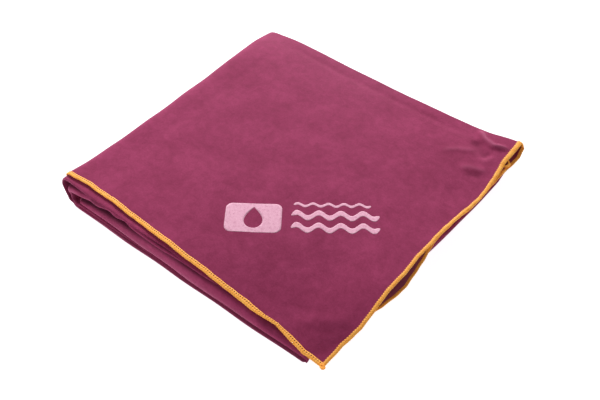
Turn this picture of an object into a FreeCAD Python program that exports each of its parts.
import FreeCAD, Part
import math
import os
from FreeCAD import Vector

# Quick dry towel: one 800 x 1600 mm microfibre suede cloth with overlocked edges, folded flat.
# It is folded in thirds across its width (outer, middle and tucked third), in half along its
# length (ply one outside, ply two inside), then in thirds along its length (bottom panel,
# inner flap, top flap).
# Frame: +Z up, table at z = 0, origin near the middle of the stack. +X runs from the back fold
# to the front end, +Y from the layered side to the closed side. Millimetres.

# ---- cloth and outline of the stack ------------------------------------------------------
CLOTH_T = 0.30          # cloth thickness, pressed
HEM_T = 1.20            # thickness of the overlocked edge
HEM_W = 4.0             # width of the overlocked edge
CLEAR = 0.05            # air between pieces of the same cloth
TABLE_GAP = 0.02        # air under the lowest layer
TOP_GAP = 0.1           # air under the top layer
UNDER_LAYERS = 17       # layers under the top one, numbered from 1 at the table
TOP_LAYER = UNDER_LAYERS + 1

Y_SIDE = 134.0          # half the folded width, at the top layer's long edge
Y_TUCK = 137.5          # the middle and tucked thirds reach -Y_TUCK on the layered side
Y_INNER = 128.0         # the tucked third's long edge inside the stack
Y_RIBS = (-120.0, -60.0, 0.0, 67.0)     # stations across the cloth shared by every layer
X_BACK = -128.0         # where the layers turn into the back fold
X_TOP = 139.5           # front end of the top layer

# ---- folds: depth of the outermost layer and depth lost by each nested one ----------------
BACK_DEPTH, BACK_STEP = 13.0, 1.2
FRONT_DEPTH, FRONT_STEP = 5.0, 0.7
HALF_DEPTH, HALF_STEP = 5.0, 1.3
HALF_X = -118.0         # where the inner flap turns into its half fold
HALF_CUT = HALF_X - X_BACK
BACK_HEM_T = 0.9        # thickness of the overlocked edge round the back fold
ARC_STEPS = 12          # facets round a fold
TO_BACK, TO_FRONT = -1, 1

# ---- surface of the stack, each value at the layered side, the middle, the closed side -----
STACK_END = (122.0, 134.0, 134.0)       # front end of the lower layers
TOP_TIP_Z = (2.6, 14.6, 11.6)           # top layer's underside at X_TOP
# fraction of the way from X_BACK to STACK_END, height of the lower layers there
STACK_HEIGHT = (
    (0.00, (32.5, 26.5, 21.5)),
    (0.15, (32.3, 25.5, 20.5)),
    (0.33, (30.5, 23.5, 17.5)),
    (0.52, (27.0, 21.5, 14.5)),
    (0.68, (21.5, 19.5, 12.5)),
    (0.81, (15.5, 17.5, 11.5)),
    (0.93, (9.2, 16.0, 11.5)),
    (1.00, (6.6, 15.0, 11.5)),
)

# ---- the lower layers: number, third of the width, ply ------------------------------------
OUTER, TUCKED, MIDDLE = "outer_third", "tucked_third", "middle_third"
ONE, TWO = "ply_one", "ply_two"
PANELS = {
    "bottom_panel": [
        (1, OUTER, ONE), (2, TUCKED, ONE), (3, MIDDLE, ONE),
        (4, MIDDLE, TWO), (5, TUCKED, TWO), (6, OUTER, TWO),
    ],
    "inner_flap": [
        (7, OUTER, TWO), (8, TUCKED, TWO), (9, MIDDLE, TWO),
        (10, MIDDLE, ONE), (11, TUCKED, ONE), (12, OUTER, ONE),
    ],
    "top_flap": [
        (13, OUTER, TWO), (14, TUCKED, TWO), (15, MIDDLE, TWO),
        (16, MIDDLE, ONE), (17, TUCKED, ONE),
    ],
}
# y range of the cloth in each third, without its overlocked long edge
SPAN = {
    OUTER: (-Y_SIDE + HEM_W + CLEAR, Y_SIDE),
    TUCKED: (-Y_TUCK, Y_INNER - HEM_W - CLEAR),
    MIDDLE: (-Y_TUCK, Y_SIDE),
}
# y range of that overlocked long edge
LONG_HEM_SPAN = {
    OUTER: (-Y_SIDE, -Y_SIDE + HEM_W),
    TUCKED: (Y_INNER - HEM_W, Y_INNER),
}
# length each panel gives up at its ends to folds and overlocked edges
TRIM = {
    "bottom_panel": dict(front=FRONT_DEPTH),
    "inner_flap": dict(front=FRONT_DEPTH, back=HALF_CUT),
    "top_flap": dict(front=HEM_W),
}
# thirds met from the outside of a fold inwards: three of one ply, then three of the other
NESTED_THIRDS = (OUTER, TUCKED, MIDDLE, MIDDLE, TUCKED, OUTER)

os.makedirs("parts", exist_ok=True)


def export(name, *shapes):
    """Write all solids of the shapes as one piece."""
    solids = [solid for shape in shapes for solid in shape.Solids]
    assert solids and all(s.isValid() and s.Volume > 0 for s in solids), name
    piece = solids[0] if len(solids) == 1 else Part.makeCompound(solids)
    piece.exportStep(f"parts/{name}.step")


# ---- heights in the stack -----------------------------------------------------------------
def across(y, values):
    """Value at y, from those at the layered side, the middle and the closed side."""
    layered, middle, closed = values
    if y < 0:
        return layered + (y + Y_SIDE) / Y_SIDE * (middle - layered)
    return middle + y / Y_SIDE * (closed - middle)


def point_at(start, end, x):
    """The point at x on the line through two (x, height) points."""
    fraction = (x - start[0]) / (end[0] - start[0])
    return x, start[1] + fraction * (end[1] - start[1])


def stack_line(y, front=0.0, back=0.0):
    """(x, height) of the lower layers from back to front, shortened by front and back."""
    length = across(y, STACK_END) - X_BACK
    points = [(X_BACK + along * length, across(y, heights)) for along, heights in STACK_HEIGHT]
    points[0] = point_at(points[0], points[1], X_BACK + back)
    points[-1] = point_at(points[-2], points[-1], X_BACK + length - front)
    return points


def underside(number, height):
    """Underside of a layer where the lower stack is height high."""
    if number == TOP_LAYER:
        return height + TOP_GAP
    return TABLE_GAP + (number - 1) * height / UNDER_LAYERS


# ---- solids from sections -----------------------------------------------------------------
def closed_section(low, high):
    return list(low) + list(reversed(high))


def loft(section, y0, y1):
    """A closed solid of flat facets through section(y), a polygon in XZ, from y0 to y1.

    The first half of the polygon is the underside and the second half runs back along the top.
    Both halves are split along the same diagonals, so the cloth keeps its thickness everywhere.
    """
    stations = [y0] + [y for y in Y_RIBS if y0 < y < y1] + [y1]
    rings = [[Vector(x, y, z) for x, z in section(y)] for y in stations]
    count = len(rings[0])
    last_low = count // 2 - 1
    faces = [Part.Face(Part.makePolygon(ring + ring[:1])) for ring in (rings[0], rings[-1])]
    for a, b in zip(rings, rings[1:]):
        for i in range(count):
            j = (i + 1) % count
            if i <= last_low:
                triangles = [(a[i], a[j], b[j]), (a[i], b[j], b[i])]
            else:
                triangles = [(a[i], a[j], b[i]), (a[j], b[j], b[i])]
            faces += [Part.Face(Part.makePolygon([p, q, r, p])) for p, q, r in triangles]
    solid = Part.Solid(Part.Shell(faces))
    if solid.Volume < 0:
        solid.reverse()
    return solid


def layer_section(number, points, thick):
    """Section of a lower layer, thinned where needed to stay clear of the next one."""
    low = [(x, underside(number, h)) for x, h in points]
    high = [
        (x, underside(number, h) + min(thick, h / UNDER_LAYERS - CLEAR)) for x, h in points
    ]
    return closed_section(low, high)


def flat_layer(number, span, trim, thick=CLOTH_T):
    return loft(lambda y: layer_section(number, stack_line(y, **trim), thick), *span)


def short_hem(number, span):
    """Overlocked front end of a lower layer."""
    def section(y):
        points = [stack_line(y, front=cut)[-1] for cut in (HEM_W - CLEAR, 0.0)]
        return layer_section(number, points, HEM_T)
    return loft(section, *span)


def top_sheet(lift=0.0, thick=CLOTH_T):
    """The top layer over the stack, running on past it and down at the loose corner."""
    def section(y):
        low = [(x, underside(TOP_LAYER, h) + lift) for x, h in stack_line(y)]
        low.append((X_TOP, across(y, TOP_TIP_Z) + lift))
        high = [(x, z + thick) for x, z in low]
        return closed_section(low, high)
    return loft(section, -Y_SIDE, Y_SIDE)


def side_wall(numbers, line_y, y0, trim):
    """Wall of a lengthwise fold joining two layers, with the heights found at line_y."""
    points = stack_line(line_y, **trim)
    low = [(x, underside(min(numbers), h)) for x, h in points]
    high = [(x, underside(max(numbers), h) + CLOTH_T) for x, h in points]
    return loft(lambda y: closed_section(low, high), y0, y0 + CLOTH_T)


def half_round(x, z0, z1, depth, side):
    """Points from (x, z0) round to (x, z1), bulging by depth towards side."""
    middle, half = (z0 + z1) / 2, (z1 - z0) / 2
    angles = [-math.pi / 2 + math.pi * i / ARC_STEPS for i in range(ARC_STEPS + 1)]
    return [(x + side * depth * math.cos(a), middle + half * math.sin(a)) for a in angles]


def fold(low, high, root, depth, side, span, thick=CLOTH_T):
    """A half-round fold joining layers low and high, starting at root(y)."""
    extra = thick - CLOTH_T
    def section(y):
        x, height = root(y)
        x += side * CLEAR
        z0 = underside(low, height)
        z1 = underside(high, height) + CLOTH_T
        outer = half_round(x, z0, z1 + extra, depth + extra, side)
        inner = half_round(x, z0 + CLOTH_T, z1 - CLOTH_T, depth - CLOTH_T, side)
        return closed_section(outer, inner)
    return loft(section, *span)


def nested_folds(low, high, root, depth, step, side, thirds=NESTED_THIRDS):
    """Folds one inside another, the outermost joining layers low and high."""
    return [
        fold(low + n, high - n, root, depth - n * step, side, SPAN[third])
        for n, third in enumerate(thirds)
    ]


def back_root(y):
    return stack_line(y)[0]


def front_root(y):
    return stack_line(y, front=FRONT_DEPTH)[-1]


def half_root(y):
    return stack_line(y, back=HALF_CUT)[0]


# ---- the three panels ---------------------------------------------------------------------
def export_panel(panel, layers):
    """Flat layers, their overlocked long edges and their lengthwise folds."""
    trim = TRIM[panel]
    for number, third, ply in layers:
        export(f"{panel}_{ply}_{third}", flat_layer(number, SPAN[third], trim))

    hems = [
        flat_layer(number, LONG_HEM_SPAN[third], trim, HEM_T)
        for number, third, _ in layers if third in LONG_HEM_SPAN
    ]
    export(f"{panel}_hidden_long_hems", *hems)

    # the top flap's outer third of ply one is the top layer
    numbers = {(OUTER, ONE): TOP_LAYER}
    numbers.update({(third, ply): number for number, third, ply in layers})
    closed, layered = [], []
    for ply in (ONE, TWO):
        middle = numbers[MIDDLE, ply]
        closed.append(side_wall((numbers[OUTER, ply], middle), Y_SIDE, Y_SIDE + CLEAR, trim))
        layered.append(side_wall(
            (numbers[TUCKED, ply], middle), -Y_TUCK, -Y_TUCK - CLEAR - CLOTH_T, trim))
    export(f"{panel}_closed_side_folds", *closed)
    export(f"{panel}_layered_side_folds", *layered)


for panel, layers in PANELS.items():
    export_panel(panel, layers)
for number, third, ply in PANELS["top_flap"]:
    export(f"top_flap_{ply}_{third}_short_hem", short_hem(number, SPAN[third]))


# ---- folds across the cloth ---------------------------------------------------------------
def export_folds():
    # bottom panel to top flap
    back = nested_folds(1, TOP_LAYER, back_root, BACK_DEPTH, BACK_STEP, TO_BACK)
    export("back_fold_ply_one", *back[:3])
    export("back_fold_ply_two", *back[3:])
    hem = fold(1, TOP_LAYER, back_root, BACK_DEPTH, TO_BACK, LONG_HEM_SPAN[OUTER], BACK_HEM_T)
    export("back_fold_long_hem", hem)

    # bottom panel to inner flap
    front = nested_folds(1, 12, front_root, FRONT_DEPTH, FRONT_STEP, TO_FRONT)
    export("front_fold_ply_one", *front[:3])
    export("front_fold_ply_two", *front[3:])

    # ply one to ply two, at the inner flap's back end
    half = nested_folds(7, 12, half_root, HALF_DEPTH, HALF_STEP, TO_BACK, NESTED_THIRDS[:3])
    export("inner_flap_half_fold", *half)


export_folds()

# ---- top layer and its loose corner -------------------------------------------------------
CORNER_LEG = 95.0       # legs of the top layer's loose corner
CREASE_GAP = 0.2        # air on each side of the crease
CUTTER_Z = -10.0        # bottom of the cutting solids
BOX_H = 70.0
CORNER_CUTTER_H = 80.0
OVERRUN = 20.0          # how far the corner cutter runs on past the cloth
FAR_OVERRUN = 60.0      # the same at its square corner, along x


def box(x0, x1, y0, y1):
    return Part.makeBox(x1 - x0, y1 - y0, BOX_H, Vector(x0, y0, CUTTER_Z))


def corner_cutter(gap):
    """Everything on the loose corner's side of the crease, gap away from it."""
    shift = gap * math.sqrt(2)
    y_low = -Y_SIDE - OVERRUN
    points = [
        Vector(X_TOP - CORNER_LEG + shift - OVERRUN, y_low, CUTTER_Z),
        Vector(X_TOP + OVERRUN, -Y_SIDE + CORNER_LEG + OVERRUN - shift, CUTTER_Z),
        Vector(X_TOP + FAR_OVERRUN, y_low, CUTTER_Z),
    ]
    face = Part.Face(Part.makePolygon(points + points[:1]))
    return face.extrude(Vector(0, 0, CORNER_CUTTER_H))


def export_top_layer():
    hem_y = -Y_SIDE + HEM_W
    hem_x = X_TOP - HEM_W
    cloth = top_sheet()
    thick = top_sheet(thick=HEM_T)
    pieces = {
        "panel": cloth.common(box(X_BACK, hem_x - CLEAR, hem_y + CLEAR, Y_SIDE)),
        "long_hem": thick.common(box(X_BACK, X_TOP, -Y_SIDE, hem_y)),
        "short_hem": thick.common(box(hem_x, X_TOP, hem_y + CLEAR, Y_SIDE)),
    }
    for name, whole in pieces.items():
        export(f"top_layer_{name}", whole.cut(corner_cutter(-CREASE_GAP)))
        export(f"loose_corner_{name}", whole.common(corner_cutter(CREASE_GAP)))


export_top_layer()

# ---- thread tail left at the loose corner -------------------------------------------------
TAIL_R = 1.5
TAIL_OFFSET = Vector(1.3, -1.2, 0.9)    # from the underside of the corner's tip
export("thread_tail", Part.makeSphere(TAIL_R, Vector(X_TOP, -Y_SIDE, TOP_TIP_Z[0]) + TAIL_OFFSET))

# ---- printed mark: a badge with a drop cut out of it, beside three waves, as a thin film --
# The mark is drawn in its own u, v axes, turned about its origin on the cloth.
PRINT_T = 0.06
PRINT_GAP = 0.01        # air under the film
PRINT_X, PRINT_Y = 48.4, -47.4
PRINT_ANGLE = math.radians(37.0)
PRINT_CUTTER_Z, PRINT_CUTTER_H = -5.0, 60.0
BADGE_U = (-62.0, -17.0)
BADGE_V = (-14.3, 15.2)
BADGE_R = 5.5
CORNER_STEPS = 4
DROP_U, DROP_V, DROP_R = -39.5, -2.6, 7.4
DROP_STEPS = 24
DROP_TAPER = 0.85       # share of the width lost at the drop's point
DROP_STRETCH = 1.9      # lengthening of the half with the point
WAVE_STEPS = 8          # facets per wavelength
# u from, u to, v at the middle, width, amplitude, wavelength
WAVES = (
    (-8.0, 54.0, 15.4, 2.6, 1.4, 12.4),
    (-9.5, 60.5, 4.4, 5.4, 2.6, 17.5),
    (-9.5, 60.5, -8.2, 5.4, 2.6, 17.5),
)


def print_cutter(outline):
    """Upright prism over an outline in u, v."""
    c, s = math.cos(PRINT_ANGLE), math.sin(PRINT_ANGLE)
    points = [
        Vector(PRINT_X + u * c - v * s, PRINT_Y + u * s + v * c, PRINT_CUTTER_Z)
        for u, v in outline
    ]
    face = Part.Face(Part.makePolygon(points + points[:1]))
    return face.extrude(Vector(0, 0, PRINT_CUTTER_H))


def badge_outline():
    u0, u1 = BADGE_U[0] + BADGE_R, BADGE_U[1] - BADGE_R
    v0, v1 = BADGE_V[0] + BADGE_R, BADGE_V[1] - BADGE_R
    points = []
    for u, v, start in ((u1, v0, -90), (u1, v1, 0), (u0, v1, 90), (u0, v0, 180)):
        for i in range(CORNER_STEPS + 1):
            angle = math.radians(start + 90 * i / CORNER_STEPS)
            points.append((u + BADGE_R * math.cos(angle), v + BADGE_R * math.sin(angle)))
    return points


def drop_outline():
    """A circle with its +v half drawn out to a narrow tip."""
    points = []
    for i in range(DROP_STEPS):
        angle = 2 * math.pi * i / DROP_STEPS
        u, v = DROP_R * math.sin(angle), -DROP_R * math.cos(angle)
        if v > 0:
            u *= 1 - (v / DROP_R) ** 2 * DROP_TAPER
            v *= DROP_STRETCH
        points.append((DROP_U + u, DROP_V + v))
    return points


def wave_outline(u0, u1, v_middle, width, amplitude, wavelength):
    length = u1 - u0
    steps = int(length / wavelength * WAVE_STEPS)
    low = []
    for i in range(steps + 1):
        swing = amplitude * math.sin(2 * math.pi * length * i / steps / wavelength)
        low.append((u0 + length * i / steps, v_middle - width / 2 + swing))
    return low + [(u, v + width) for u, v in reversed(low)]


def printed_mark():
    film = top_sheet(lift=CLOTH_T + PRINT_GAP, thick=PRINT_T)
    badge = film.common(print_cutter(badge_outline())).cut(print_cutter(drop_outline()))
    return [badge] + [film.common(print_cutter(wave_outline(*wave))) for wave in WAVES]


export("printed_mark", *printed_mark())
